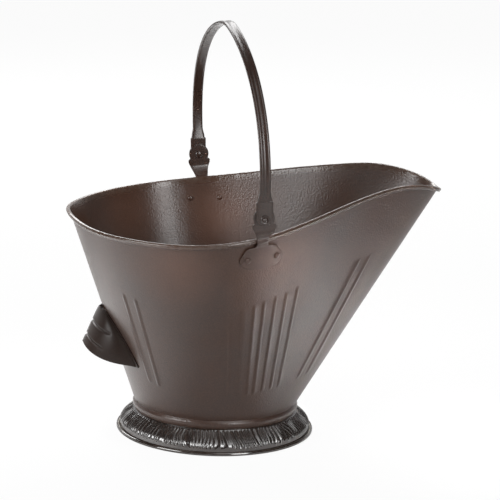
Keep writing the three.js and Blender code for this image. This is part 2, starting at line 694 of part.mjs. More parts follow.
addPiece('body_shell', bodyShell(), PAINT.body);
addPiece('rim_wire', rimWire(), PAINT.wire);
addPiece('bottom_pan', bottomPan(), PAINT.body);
addPiece('foot_ring', footRing(), PAINT.foot);
addPiece('foot_wire', footWire(), PAINT.wire);
addPiece('ear_left', earPlate(), PAINT.handle);
addPiece('ear_right', mirrored(earPlate()), PAINT.handle);
['left_rear', 'left_front', 'right_rear', 'right_front'].forEach((place, i) => {
  addPiece(`ear_rivet_${place}`, earRivet(earRivetSeats()[i]), PAINT.handle);
});
addPiece('bail_handle', bailHandle(), PAINT.handle);
addPiece('pivot_rivet_left', pivotRivet(), PAINT.handle);
addPiece('pivot_rivet_right', mirrored(pivotRivet()), PAINT.handle);
addPiece('tilt_grip', tiltGrip(), PAINT.grip);

// The origin lies on the floor under the middle of the whole length
const lipEnd = rimAt(0).centre.x + BEAD_OUTER;
const backEnd = rimAt(SPANS).centre.x - BEAD_OUTER;
group.position.x = -(lipEnd + backEnd) / 2;

export default group;
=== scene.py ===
"""Coal scuttle: the looks of its sheet steel bucket, foot ring, ears, bail handle and tilting grip."""

import math

import bpy
from mathutils import Matrix, Vector, noise


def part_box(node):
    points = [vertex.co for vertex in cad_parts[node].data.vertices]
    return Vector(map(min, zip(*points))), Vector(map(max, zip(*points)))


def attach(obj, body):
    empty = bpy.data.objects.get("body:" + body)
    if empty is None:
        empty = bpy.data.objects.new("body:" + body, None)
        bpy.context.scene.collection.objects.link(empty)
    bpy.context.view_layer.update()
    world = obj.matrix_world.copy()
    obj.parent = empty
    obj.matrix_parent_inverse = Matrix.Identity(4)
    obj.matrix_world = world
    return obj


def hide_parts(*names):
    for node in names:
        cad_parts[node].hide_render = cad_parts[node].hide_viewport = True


bl_info = {
    "name": "Coal Scuttle",
    "version": (1, 0, 0),
    "blender": (4, 5, 0),
    "location": "3D View > Sidebar > Scuttle",
    "description": "Models a painted steel coal scuttle with a swinging bail handle",
    "category": "Add Mesh",
}

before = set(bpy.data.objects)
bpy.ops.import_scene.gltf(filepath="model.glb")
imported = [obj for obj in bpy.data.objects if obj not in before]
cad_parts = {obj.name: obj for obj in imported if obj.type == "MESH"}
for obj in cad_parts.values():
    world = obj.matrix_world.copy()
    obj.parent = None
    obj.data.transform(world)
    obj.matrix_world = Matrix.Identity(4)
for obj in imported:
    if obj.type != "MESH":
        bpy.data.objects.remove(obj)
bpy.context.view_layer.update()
MM = 0.001
SAME_SPOT = 0.002 * MM

# The foot ring's own axis carries every round piece
FOOT_LOW, FOOT_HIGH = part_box("foot_ring")
AXIS = Vector(((FOOT_LOW[0] + FOOT_HIGH[0]) / 2, 0, 0))
SIDEWAYS = Vector((0, 1, 0))
UPWARDS = Vector((0, 0, 1))

# Rim curve: forward, half width, height in millimetres, and the direction in degrees in which
# the wall's straight line below each point meets the base circle
RIM_POINTS = (
    (255, 0, 275.5, 0),
    (250.5, 33.5, 283.5, 29),
    (206, 61.5, 295.5, 52),
    (159, 80, 289.5, 58),
    (110, 111, 279.5, 63),
    (59, 139.5, 267.5, 70),
    (2, 167.5, 257, 83),
    (-65, 165.5, 251, 108),
    (-121.5, 126, 250.5, 133),
    (-163, 71, 250.5, 156),
    (-177.5, 0, 257.5, 180),
)
SPANS = len(RIM_POINTS) - 1

# Embossed ribs of one side: forward and height of the upper and the lower end, in millimetres
CENTRE_RIBS = 7
CENTRE_RIB_FRONT = ((66, 191), (54.5, 75))
CENTRE_RIB_BACK = ((-17, 170), (-8.5, 69))
FRONT_RIBS = (((145.5, 210), (80.5, 80)), ((159.5, 213), (93.5, 82)))
REAR_RIBS = (((-124, 177.5), (-90.5, 77.5)), ((-113.5, 175.5), (-82, 75)))

# Half of the ear's outline: half width and height from the rim bead, in millimetres
EAR_OUTLINE = (
    (0, -34.5), (9, -34.5), (18, -33), (23.6, -29), (25.2, -24), (25.2, -20.5),
    (21.5, -14.6), (18.4, -9.8), (16.6, -9), (9.2, -8.2), (7.4, -7), (6.5, -4),
    (6.5, 0), (7.6, 4.5), (12.4, 15.5), (13, 17.2), (13, 20), (11.4, 21.4),
    (10.6, 22), (11.2, 23.6), (12, 27), (10.8, 33), (6, 38), (0, 38),
)


# ---------------------------------------------------------------- settings
def length(name, description, millimetres):
    return bpy.props.FloatProperty(
        name=name, description=description, default=millimetres * MM, unit="LENGTH", subtype="DISTANCE"
    )


def shade(name, description, default):
    return bpy.props.StringProperty(name=name, description=description, default=default)


class BucketSettings(bpy.types.PropertyGroup):
    sheet: length("Sheet", "Thickness of the steel", 1.0)
    base_radius: length("Base radius", "Outside of the sheet where the taper starts", 93.6)
    band_top: length("Band top", "Height of the groove above the band", 36.0)
    band_height: length("Band height", "Height of the band below the taper", 10.5)
    wire_radius: length("Rim wire radius", "Wire that the rim is curled round", 1.3)
    clearance: length("Clearance", "Air between two pieces that touch", 0.3)
    rib_half_width: length("Rib half width", "From a rib's crest to its foot", 3.4)
    rib_rise: length("Rib rise", "How far a rib stands out of the wall", 1.2)
    rib_end: length("Rib end", "Length over which a rib fades out", 3.6)


class FootSettings(bpy.types.PropertyGroup):
    radius: length("Radius", "Overall radius of the foot ring", 113.2)
    wire_radius: length("Foot wire radius", "Wire in the rolled edge", 1.1)
    shelf: length("Shelf", "Inward flange that the body stands on", 9.0)
    drop: length("Drop", "Height over which the skirt turns upright", 6.0)
    sheet: length("Sheet", "Thickness of the skirt", 0.7)
    crimp_depth: length("Crimp depth", "Height of the skirt's pressed wrinkles", 1.15)
    crimp_pitch: length("Crimp pitch", "Distance between two wrinkles", 5.4)


class EarSettings(bpy.types.PropertyGroup):
    forward: length("Forward", "Place of the ear's middle along the rim", 11.5)
    tilt: bpy.props.FloatProperty(
        name="Tilt", description="How far the ear leans back", default=math.radians(4.5), subtype="ANGLE"
    )
    thickness: length("Thickness", "Thickness of the ear plate", 2.5)
    standoff: length("Stand-off", "From the rim bead to the tab", 11.0)
    pivot_rise: length("Pivot rise", "Pivot above the rim", 26.5)
    rivet_spread: length("Rivet spread", "Rivets from the ear's middle", 16.8)
    rivet_drop: length("Rivet drop", "Rivets below the rim", 21.5)
    rivet_radius: length("Rivet radius", "Shank of an ear rivet", 2.0)
    pivot_radius: length("Pivot radius", "Shank of a pivot rivet", 2.8)
    pivot_head: length("Pivot head radius", "Head of a pivot rivet", 5.0)


class BailSettings(bpy.types.PropertyGroup):
    height: length("Height", "From the pivots to the strap's middle at the top", 184.5)
    lean: bpy.props.FloatProperty(
        name="Lean", description="How far the bail leans back", default=math.radians(-2.0), subtype="ANGLE"
    )
    shoulder: length("Shoulder", "Side arm of the curve above the flat ends", 140.0)
    bulge: length("Bulge", "How far that arm leans out", 28.5)
    crown: length("Crown", "Level arm of the curve at the top", 28.0)
    half_width: length("Half width", "Half the strap's width", 5.9)
    thickness: length("Thickness", "Strap from its inner face to its ridges", 4.4)
    plate_half_width: length("Plate half width", "Half the flat end's width", 9.2)
    plate_thickness: length("Plate thickness", "Thickness of the flat end", 3.6)
    plate_length: length("Plate length", "Flat end above the pivot", 17.0)
    flare: length("Flare", "Length over which the plate draws in", 12.0)
    toe: length("Toe", "Rounded end below the pivot", 6.4)


class GripSettings(bpy.types.PropertyGroup):
    top: length("Top", "Height of the grip's upper end", 148.0)
    bottom: length("Bottom", "Height of its lower corners on the wall", 89.0)
    half_width: length("Half width", "Half the grip's width on the wall", 48.5)
    tip_height: length("Tip height", "Height of the lower edge's tip", 107.0)
    reach: length("Reach", "Tip's distance out from the wall", 37.0)
    sag: length("Sag", "Dip of the lower edge beside the tip", 6.0)
    sheet: length("Sheet", "Thickness of the grip", 1.2)
    flange: length("Flange", "Width of the flange on the wall", 3.5)
    groove_depth: length("Groove depth", "Depth of the two pressed lines", 1.7)
    groove_width: length("Groove width", "Half width of the two pressed lines", 1.6)


class FinishSettings(bpy.types.PropertyGroup):
    bronze: shade("Bronze", "Brown paint of the bucket", "#4c372d")
    # The copper mist is laid lightest at two fixed spots on the upper wall, where it also paints in the
    # wall's reflection of the bright floor
    copper: shade("Copper", "Warm mist sprayed over the brown", "#8c614c")
    smoke: shade("Smoke", "Grey-brown patches in the paint", "#473d39")
    foot: shade("Foot", "Paint of the foot ring", "#2e2521")
    handle: shade("Handle", "Paint of the bail and the ears", "#3b2b25")
    grip: shade("Grip", "Paint of the rear grip", "#2e211b")
    worn: shade("Worn", "Edges that handling has rubbed", "#85766c")
    wire: shade("Wire", "Drawn steel of the rim and foot wires", "#8a8680")
    oxide: shade("Oxide", "Dull skin in the wires' die marks", "#5e5a55")


class StudioSettings(bpy.types.PropertyGroup):
    floor_size: bpy.props.FloatProperty(
        name="Floor", description="Side of the floor", default=9.0, unit="LENGTH"
    )
    sky: bpy.props.FloatProperty(
        name="Sky", description="Strength of the dim room's own light", default=0.03
    )
    glow: bpy.props.FloatProperty(
        name="Glow", description="White backdrop as reflections see it", default=0.6
    )
    camera_distance: bpy.props.FloatProperty(
        name="Distance", description="Camera to the object", default=2.9685, unit="LENGTH"
    )


# ---------------------------------------------------------------- rim curve and tapered wall
def smoothstep(value, low, high):
    share = min(1.0, max(0.0, (value - low) / (high - low)))
    return share * share * (3 - 2 * share)


def mix(a, b, share):
    return a + (b - a) * share


def swollen(value, power):
    """A sine or cosine pushed outwards, so that a round section becomes squarer."""
    return math.copysign(abs(value) ** power, value)


def mirrored(point):
    """The same spot on the other side of the scuttle."""
    return Vector((point.x, -point.y, point.z))


def rim_control(index):
    """A rim point and its base angle, by its number round the whole rim, over and over."""
    lap, place = divmod(index, 2 * SPANS)
    x, y, z, base = RIM_POINTS[place if place <= SPANS else 2 * SPANS - place]
    if place > SPANS:
        y, base = -y, 360 - base
    return Vector((x * MM, y * MM, z * MM, base + 360 * lap))


def rim_at(u):
    """The rim's middle and base angle: a uniform cubic B-spline of the rim points."""
    span = math.floor(u)
    t = u - span
    weights = ((1 - t) ** 3, 3 * t**3 - 6 * t**2 + 4, -3 * t**3 + 3 * t**2 + 3 * t + 1, t**3)
    total = Vector((0, 0, 0, 0))
    for k, weight in enumerate(weights):
        total += rim_control(span - 1 + k) * (weight / 6)
    return total.xyz + AXIS, math.radians(total.w)


BACK_STARTS = 0.7  # share of half the rim from which the wall turns round to the back


class WallLine:
    """One straight line of the wall, from the base circle to the rim bead, with its own axes."""

    def __init__(self, u):
        bucket = bpy.context.scene.scuttle_bucket
        self.centre, angle = rim_at(u)
        along = (rim_at(u + 1e-3)[0] - rim_at(u - 1e-3)[0]).normalized()
        self.spoke = Vector((math.cos(angle), math.sin(angle), 0))
        self.foot = AXIS + self.spoke * bucket.base_radius + UPWARDS * bucket.band_top
        rising = (self.centre - self.foot).normalized()
        self.outward = along.cross(rising).normalized()
        self.upward = self.outward.cross(along).normalized()
        self.head = self.centre - self.outward * (bucket.wire_radius + bucket.clearance)

    def at(self, height, off=0.0):
        """A spot of the wall at a height, this far out of the sheet's outer face."""
        share = (height - self.foot.z) / (self.head.z - self.foot.z)
        return self.foot.lerp(self.head, share) + self.outward * off

    def curl(self, degrees, radius):
        """A spot round the rim wire: 0 degrees is outwards and 90 is up the wall."""
        angle = math.radians(degrees)
        across = self.outward * radius * math.cos(angle)
        return self.centre + across + self.upward * radius * math.sin(angle)


def solve_falling(measure, target, low, high):
    """Where a measure that falls from low to high meets its target, by halving."""
    for _ in range(30):
        middle = (low + high) / 2
        if measure(middle) > target:
            low = middle
        else:
            high = middle
    return (low + high) / 2


def side_u(x, height):
    """The wall line of the near side that passes this spot, forward and up."""
    return solve_falling(lambda u: WallLine(u).at(height).x, x, 0, SPANS)


def rear_u(y, height):
    """The wall line of the back that passes this spot, sideways and up."""
    return solve_falling(lambda u: WallLine(u).at(height).y, y, SPANS * BACK_STARTS, SPANS)


def rim_u(x):
    """The place along the rim that lies this far forward."""
    return solve_falling(lambda u: rim_at(u)[0].x, x, 0, SPANS)


# ---------------------------------------------------------------- modelling helpers
def deselect():
    bpy.ops.object.select_all(action="DESELECT")


def edit(piece, *steps):
    """Runs edit mode steps on the whole of one piece."""
    deselect()
    piece.select_set(True)
    bpy.context.view_layer.objects.active = piece
    bpy.ops.object.mode_set(mode="EDIT")
    bpy.ops.mesh.select_all(action="SELECT")
    for step in steps:
        step()
    bpy.ops.object.mode_set(mode="OBJECT")


def skin(name, rows, closed=False, wear=None):
    """Lays a grid primitive over rows of points. Each row closes on itself, and the rows may too.
    The wear function gives each point's rubbing, which the paint reads as an attribute."""
    around = len(rows[0])
    along = len(rows)
    spans = along if closed else along - 1
    deselect()
    bpy.ops.mesh.primitive_grid_add(x_subdivisions=around, y_subdivisions=spans, size=1)
    piece = bpy.context.object
    piece.name = name
    piece.data.name = name
    marks = piece.data.attributes.new("wear", "FLOAT", "POINT").data
    for vertex in piece.data.vertices:
        column = round((vertex.co.x + 0.5) * around) % around
        row = round((vertex.co.y + 0.5) * spans) % along
        vertex.co = rows[row][column]
        marks[vertex.index].value = wear(row, column) if wear else 0.0
    edit(
        piece,
        lambda: bpy.ops.mesh.remove_doubles(threshold=SAME_SPOT),
        lambda: bpy.ops.mesh.normals_make_consistent(inside=False),
    )
    return piece


def capped(rows):
    """Closes both ends of a run of thin loops: each end is zipped shut along its own middle."""

    def zipped(loop):
        half = len(loop) // 2
        middle = [(loop[i] + loop[-1 - i]) / 2 for i in range(half)]
        return middle + middle[::-1]

    return [zipped(rows[0]), *rows, zipped(rows[-1])]


def turned(name, profile, segments, origin, direction):
    """A turned piece: profile of (radius, distance) along an axis, with its ends on the axis."""
    turn = UPWARDS.rotation_difference(direction)
    rows = []
    for radius, distance in profile:
        ring = []
        for i in range(segments):
            angle = math.tau * i / segments
            spot = Vector((radius * math.cos(angle), radius * math.sin(angle), distance))
            ring.append(origin + turn @ spot)
        rows.append(ring)
    return skin(name, rows)


def rounded(profile):
    """Cuts the corners of an open line of pairs twice over, and keeps its ends."""
    for _ in range(2):
        softer = [profile[0]]
        for (a, b), (c, d) in zip(profile, profile[1:]):
            softer.append((mix(a, c, 0.25), mix(b, d, 0.25)))
            softer.append((mix(a, c, 0.75), mix(b, d, 0.75)))
        softer.append(profile[-1])
        profile = softer
    return profile


def finish(piece, material, body, node, angle):
    """Smooths a finished piece up to an angle, paints it, hangs it on its body, and hides the CAD node that
    it stands in for.
    """
    deselect()
    piece.select_set(True)
    bpy.context.view_layer.objects.active = piece
    bpy.ops.object.shade_smooth_by_angle(angle=math.radians(angle))
    piece.data.materials.clear()
    piece.data.materials.append(material)
    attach(piece, body)
    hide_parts(node)


# ---------------------------------------------------------------- finishes
def linear(code):
    """An sRGB hex value as linear light."""
    parts = [int(code[i : i + 2], 16) / 255 for i in (1, 3, 5)]
    return tuple(p / 12.92 if p <= 0.04045 else ((p + 0.055) / 1.055) ** 2.4 for p in parts) + (1.0,)


def add(tree, kind, links=None, **settings):
    """Adds a node, sets its settings and sockets, and links the sockets named in links."""
    made = tree.nodes.new(kind)
    for key, value in settings.items():
        if hasattr(made, key):
            setattr(made, key, value)
        else:
            made.inputs[key.replace("_", " ")].default_value = value
    for socket, source in (links or {}).items():
        tree.links.new(source, made.inputs[socket])
    return made


def new_material(name):
    material = bpy.data.materials.new(name)
    material.use_nodes = True
    material.node_tree.nodes.clear()
    return material, material.node_tree


def per_metre(millimetres):
    """A noise scale whose features are about this wide."""
    return 1000.0 / millimetres


def blended(tree, fac, first, second):
    """Mixes two colours, each a socket or a colour."""
    made = add(tree, "ShaderNodeMix", data_type="RGBA")
    tree.links.new(fac, made.inputs["Factor"])
    for slot, value in (("A", first), ("B", second)):
        socket = next(s for s in made.inputs if s.name == slot and s.type == "RGBA")
        if isinstance(value, tuple):
            socket.default_value = value
        else:
            tree.links.new(value, socket)
    return next(s for s in made.outputs if s.type == "RGBA")


RUBBING_GLOSS = 0.4  # how much roughness full rubbing takes away
PEEL_HEIGHT = 0.4 * MM  # of the orange peel's waves

# Where the copper mist was sprayed, which is also a painted reflection: these two fixed, lighter clouds
# stand where the wall
# reflects the bright floor. In metres: its middle's forward, sideways and height, its reach, and its
# strength
MIST_AND_REFLECTION_SPOTS = (
    (-0.004, 0.132, 0.222, 0.085, 0.75),
    (-0.112, 0.128, 0.232, 0.075, 0.45),
)


def mist_and_reflection_mask(tree, place, breakup):
    """Soft clouds of copper mist, which at two fixed spots also paint in the wall's reflection of the
    bright floor, the same on both sides of the bucket, broken up by a noise.
    """
    split = add(tree, "ShaderNodeSeparateXYZ", {"Vector": place})
    side = add(tree, "ShaderNodeMath", {0: split.outputs["Y"]}, operation="ABSOLUTE")
    folded = add(
        tree, "ShaderNodeCombineXYZ",
        {"X": split.outputs["X"], "Y": side.outputs["Value"], "Z": split.outputs["Z"]},
    )
    total = None
    for x, y, z, reach, strength in MIST_AND_REFLECTION_SPOTS:
        away = add(tree, "ShaderNodeVectorMath", {0: folded.outputs["Vector"]}, operation="DISTANCE")
        away.inputs[1].default_value = (x, y, z)
        cloud = add(
            tree, "ShaderNodeMapRange", {"Value": away.outputs["Value"]}, interpolation_type="SMOOTHSTEP",
            From_Min=0.0, From_Max=reach, To_Min=strength, To_Max=0.0,
        ).outputs["Result"]
        total = cloud if total is None else add(
            tree, "ShaderNodeMath", {0: total, 1: cloud}, operation="MAXIMUM"
        ).outputs["Value"]
    uneven = add(
        tree, "ShaderNodeMapRange", {"Value": breakup}, From_Min=0.3, From_Max=0.65, To_Min=0.45
    )
    made = add(tree, "ShaderNodeMath", {0: total, 1: uneven.outputs["Result"]}, operation="MULTIPLY")
    return made.outputs["Value"]


def spray_paint(name, base, mist_and_reflection, smoke, roughness, peel, sheen):
    """Sprayed enamel on sheet steel: brown with clouds of copper mist, an orange-peel skin
    and a semi-gloss that goes bright at grazing angles. The mist's lighter clouds are partly a painted
    reflection of the bright floor.
    Raised edges are rubbed a little smoother and lighter by handling. The grit of the spray is drawn 1.3 mm
    wide, so that it shows."""
    colours = bpy.context.scene.scuttle_finish
    material, tree = new_material(name)
    place = add(tree, "ShaderNodeTexCoord").outputs["Object"]
    haze = add(
        tree, "ShaderNodeTexNoise", {"Vector": place}, Scale=per_metre(75), Detail=3.0, Roughness=0.5
    )
    grit = add(tree, "ShaderNodeTexNoise", {"Vector": place}, Scale=per_metre(1.3), Detail=2.0)
    orange = add(tree, "ShaderNodeTexNoise", {"Vector": place}, Scale=per_metre(1.9), Detail=1.0)
    dull = add(
        tree, "ShaderNodeMapRange", {"Value": haze.outputs["Fac"]},
        From_Min=0.42, From_Max=0.68, To_Max=0.8,
    )
    speck = add(
        tree, "ShaderNodeMapRange", {"Value": grit.outputs["Fac"]},
        From_Min=0.4, From_Max=0.75, To_Max=0.25,
    )
    worn = add(tree, "ShaderNodeAttribute", attribute_name="wear")
    scuff = add(tree, "ShaderNodeTexNoise", {"Vector": place}, Scale=per_metre(6), Detail=4.0)
    bare = add(
        tree, "ShaderNodeMapRange", {"Value": scuff.outputs["Fac"]},
        From_Min=0.35, From_Max=0.65, To_Min=0.2,
    )
    edge = add(
        tree, "ShaderNodeMath", {0: worn.outputs["Fac"], 1: bare.outputs["Result"]}, operation="MULTIPLY"
    )

    colour = blended(tree, dull.outputs["Result"], linear(base), linear(smoke))
    # Copper mist clouds, lighter at two fixed spots: partly a painted reflection of the bright floor on the
    # wall
    colour = blended(tree, mist_and_reflection_mask(tree, place, haze.outputs["Fac"]), colour, linear(mist_and_reflection))
    colour = blended(tree, speck.outputs["Result"], colour, linear(mist_and_reflection))
    colour = blended(tree, edge.outputs["Value"], colour, linear(colours.worn))
    gloss = add(
        tree, "ShaderNodeMapRange", {"Value": haze.outputs["Fac"]},
        From_Min=0.3, From_Max=0.7, To_Min=roughness - 0.03, To_Max=roughness + 0.04,
    )
    rubbed = add(
        tree, "ShaderNodeMath", {0: worn.outputs["Fac"], 2: gloss.outputs["Result"]},
        operation="MULTIPLY_ADD",
    )
    rubbed.inputs[1].default_value = -RUBBING_GLOSS
    bump = add(
        tree, "ShaderNodeBump", {"Height": orange.outputs["Fac"]}, Strength=peel, Distance=PEEL_HEIGHT
    )
    surface = add(
        tree, "ShaderNodeBsdfPrincipled",
        {"Base Color": colour, "Roughness": rubbed.outputs["Value"], "Normal": bump.outputs["Normal"]},
        Metallic=0.0,
        IOR=sheen,
    )
    add(tree, "ShaderNodeOutputMaterial", {"Surface": surface.outputs["BSDF"]})
    return material


def drawn_wire(name, base, oxide):
    """Plain drawn steel wire: grey metal with faint lengthwise die marks and a dull oxide skin."""
    material, tree = new_material(name)
    place = add(tree, "ShaderNodeTexCoord").outputs["Object"]
    marks = add(tree, "ShaderNodeTexNoise", {"Vector": place}, Scale=per_metre(3), Detail=3.0)
    gloss = add(
        tree, "ShaderNodeMapRange", {"Value": marks.outputs["Fac"]},
        From_Min=0.3, From_Max=0.7, To_Min=0.4, To_Max=0.6,
    )
    colour = blended(tree, marks.outputs["Fac"], linear(base), linear(oxide))
    surface = add(
        tree, "ShaderNodeBsdfPrincipled",
        {"Base Color": colour, "Roughness": gloss.outputs["Result"]},
        Metallic=1.0,
    )
    add(tree, "ShaderNodeOutputMaterial", {"Surface": surface.outputs["BSDF"]})
    return material


# Each enamel's base, mist and smoke colours (the mist's clouds are partly a painted reflection), roughness,
# strength of its orange peel, and IOR.
# All but the grip's lie above the 1.5 of plain enamel, for the metal flake in the paint.
ENAMELS = {
    # Satin brown over the whole bucket, with the copper mist showing, partly as a painted reflection of the
    # bright floor
    "bronze_spray_enamel": ("bronze", "copper", "smoke", 0.31, 0.6, 1.8),
    # Nearly black and glossy, so that each wrinkle of the skirt catches a glint
    "dark_enamel_on_crimped_steel": ("foot", "bronze", "grip", 0.22, 0.06, 2.8),
    # Dark brown, rubbed smooth by the hand, with the copper mist, partly a painted reflection, where its
    # clouds reach the ears
    "brown_enamel_on_forged_strap": ("handle", "copper", "grip", 0.28, 0.12, 1.85),
    # Dull dark brown without flake
    "umber_enamel_on_pressed_grip": ("grip", "bronze", "foot", 0.36, 0.1, 1.45),
}


def paint(kind):
    """The scuttle's finishes by name, each made once."""
    if kind in bpy.data.materials:
        return bpy.data.materials[kind]
    colours = bpy.context.scene.scuttle_finish
    if kind in ENAMELS:
        base, mist_and_reflection, smoke, *values = ENAMELS[kind]
        codes = [getattr(colours, name) for name in (base, mist_and_reflection, smoke)]
        return spray_paint(kind, *codes, *values)
    return drawn_wire(kind, colours.wire, colours.oxide)


# ---------------------------------------------------------------- bucket
RIB_CREST_SHIFT = 1.2  # the rib tables give the light line on a rib's flank, this many mm from its crest
RIB_ZONE_MARGIN = 0.07  # beyond a rib's own span of the rim, with lines of points still close together
FINE_PACE = 0.75 * MM
COARSE_PACE = 5.0 * MM

# Rows of points up the wall, from share to share of its height: close together at the ribs' ends
WALL_ROWS = ((0.0, 0.11, 3), (0.11, 0.24, 15), (0.24, 0.58, 15), (0.58, 0.76, 21), (0.76, 1.0, 8))

# The band's profile in millimetres: out from where the taper starts, and down from the band's top
BAND_PROFILE = ((-0.7, 0.9), (-0.1, 1.9), (0.9, 3.0), (1.3, 4.4), (1.3, 6.4), (0.8, 8.6))
BAND_TUCK = -0.6  # its lower edge, out from where the taper starts

# The rim bead: degrees round its wire, the groove left by the curling tool, and its unevenness
BEAD_TURN = range(180, -130, -10)
BEAD_INSIDE = range(-120, 181, 20)
GROOVE_DEPTH, GROOVE_AT, GROOVE_REACH = 0.6 * MM, -12, 22
UNEVEN_DEPTH, UNEVEN_WAVE = 0.2 * MM, 5
RUBBED_COLUMNS, RUBBED = 28, 0.45


class Rib:
    """A pressed rib of one side, from its upper to its lower end. It keeps its place on the wall
    at a run of heights."""

    STEPS = 30

    def __init__(self, ends):
        (top_x, top_z), (low_x, low_z) = ends
        shift = math.copysign(RIB_CREST_SHIFT, top_x - low_x)
        self.top = Vector(((top_x - shift) * MM + AXIS.x, top_z * MM))
        self.low = Vector(((low_x - shift) * MM + AXIS.x, low_z * MM))
        self.cosine = (self.top.y - self.low.y) / (self.top - self.low).length
        end = bpy.context.scene.scuttle_bucket.rib_end
        self.reach = (self.low.y - end, self.top.y + end)
        heights = [mix(*self.reach, i / self.STEPS) for i in range(self.STEPS + 1)]
        self.places = [WallLine(self.u_at(height)).at(height) for height in heights]

    def u_at(self, height):
        share = (self.top.y - height) / (self.top.y - self.low.y)
        return side_u(mix(self.top.x, self.low.x, share), height)

    def rise(self, point, height):
        """Share of the full rise at a point of the wall at this height."""
        bucket = bpy.context.scene.scuttle_bucket
        bottom, top = self.reach
        if not bottom < height < top:
            return 0.0
        step, share = divmod((height - bottom) / (top - bottom) * self.STEPS, 1)
        place = self.places[int(step)].lerp(self.places[int(step) + 1], share)
        across = (point - place).length * self.cosine
        past = max(height - self.top.y, self.low.y - height, 0.0)
        reach = math.hypot(across / bucket.rib_half_width, past / bucket.rib_end)
        return 0.5 + 0.5 * math.cos(math.pi * min(reach, 1.0))


def rib_ends():
    """The upper and the lower end of each rib of one side."""
    for i in range(CENTRE_RIBS):
        share = i / (CENTRE_RIBS - 1)
        yield tuple(
            (mix(front[0], back[0], share), mix(front[1], back[1], share))
            for front, back in zip(CENTRE_RIB_FRONT, CENTRE_RIB_BACK)
        )
    yield from FRONT_RIBS
    yield from REAR_RIBS


def wall_columns(ribs):
    """Places of the wall's lines along half the rim: close together where there are ribs."""
    zones = []
    for rib in ribs:
        ends = [rib.u_at(rib.top.y), rib.u_at((rib.top.y + rib.low.y) / 2), rib.u_at(rib.low.y)]
        zones.append((min(ends) - RIB_ZONE_MARGIN, max(ends) + RIB_ZONE_MARGIN))
    middle = (ribs[0].top.y + ribs[0].low.y) / 2
    columns = [0.0]
    nudge = 0.01
    while columns[-1] < SPANS:
        u = columns[-1]
        speed = (WallLine(u + nudge).at(middle) - WallLine(u).at(middle)).length / nudge
        inside = any(low <= u <= high for low, high in zones)
        columns.append(u + (FINE_PACE if inside else COARSE_PACE) / speed)
    return columns[:-1] + [float(SPANS)]


def wall_heights():
    """Shares of the wall's height at which it has a row of points."""
    return [mix(low, high, i / steps) for low, high, steps in WALL_ROWS for i in range(steps)][1:]


def bucket_section(line, ribs, side, bead):
    """The closed section of the sheet along one wall line: inside, rim bead, outside, band."""
    bucket = bpy.context.scene.scuttle_bucket
    inner_bead = bucket.wire_radius + bucket.clearance
    outer_bead = inner_bead + bucket.sheet + bead

    def band(shift):
        top = bucket.band_top
        steps = [(out, top - down * MM) for out, down in BAND_PROFILE]
        steps.append((BAND_TUCK, top - bucket.band_height))
        ring = bucket.base_radius - shift
        return [AXIS + line.spoke * (ring + out * MM) + UPWARDS * height for out, height in steps]

    def wall(off):
        points = []
        for share in wall_heights():
            height = mix(line.foot.z, line.head.z, share)
            near = line.at(height)
            mirror = near if side > 0 else mirrored(near)
            rise = max(rib.rise(mirror, height) for rib in ribs)
            points.append(near + line.outward * (off + bucket.rib_rise * rise))
        return points

    inside = [line.foot - line.spoke * bucket.sheet] + wall(-bucket.sheet)
    outside = wall(0.0)[::-1] + [line.foot]
    over = []
    for degrees in BEAD_TURN:
        groove = GROOVE_DEPTH * math.exp(-(((degrees - GROOVE_AT) / GROOVE_REACH) ** 2))
        over.append(line.curl(degrees, outer_bead - groove))
    under = [line.curl(degrees, inner_bead) for degrees in BEAD_INSIDE]
    return band(bucket.sheet)[::-1] + inside + over + under + outside + band(0.0)


class SCUTTLE_OT_bucket(bpy.types.Operator):
    """Models the tapered bucket with its pressed ribs, rim bead and band"""

    bl_idname = "scuttle.bucket"
    bl_label = "Bucket"

    def execute(self, context):
        ribs = [Rib(ends) for ends in rib_ends()]
        half = wall_columns(ribs)
        columns = [(u, 1) for u in half] + [(2 * SPANS - u, -1) for u in half[-2:0:-1]]
        rows = []
        for u, side in columns:
            line = WallLine(u)
            # The hand-finished rim isn't quite even, so its highlight breaks up into dashes
            bead = -UNEVEN_DEPTH * abs(noise.noise(line.centre * per_metre(UNEVEN_WAVE)))
            rows.append(bucket_section(line, ribs, side, bead))
        first = len(BAND_PROFILE) + 1 + 1 + len(wall_heights())

        def wear(row, column):
            return RUBBED if first <= column < first + RUBBED_COLUMNS else 0.0

        piece = skin("bucket", rows, closed=True, wear=wear)
        finish(piece, paint("bronze_spray_enamel"), "scuttle", "body_shell", angle=50)
        return {"FINISHED"}


class SCUTTLE_OT_bottom_pan(bpy.types.Operator):
    """Turns the bottom pan that closes the bucket"""

    bl_idname = "scuttle.bottom_pan"
    bl_label = "Bottom pan"

    def execute(self, context):
        low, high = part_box("bottom_pan")
        radius = (high[0] - low[0]) / 2
        sheet = context.scene.scuttle_bucket.sheet
        rise = 1.5 * MM
        flat = 74 * MM
        profile = [
            (0, rise),
            (flat - 4 * rise, rise),
            (flat - 2 * rise, rise * 0.7),
            (flat, 0),
            (radius - 1.2 * MM, 0),
            (radius - 0.3 * MM, 0.3 * MM),
            (radius, 1.2 * MM),
            (radius, high[2] - low[2]),
            (radius - sheet, high[2] - low[2]),
            (radius - sheet, 1.8 * MM),
            (radius - sheet - 0.8 * MM, sheet),
            (flat, sheet),
            (flat - 2 * rise, sheet + rise * 0.7),
            (flat - 4 * rise, sheet + rise),
            (0, sheet + rise),
        ]
        piece = turned("pan", profile, 160, AXIS + UPWARDS * low[2], UPWARDS)
        finish(piece, paint("bronze_spray_enamel"), "scuttle", "bottom_pan", angle=50)
        return {"FINISHED"}


# ---------------------------------------------------------------- foot ring
CRIMP_LEAN, CRIMP_WANDER = 1.6, 0.9  # in wrinkles, from the top of the skirt to its edge
ROLL_REST = 18  # the roll stands on an arc of this many degrees each side of its lowest line
BELL_POWER = 1.25  # 1 is a quarter of a sine, and more holds the neck upright for longer
BELL_ROWS, FOOT_COLUMNS = 26, 1200


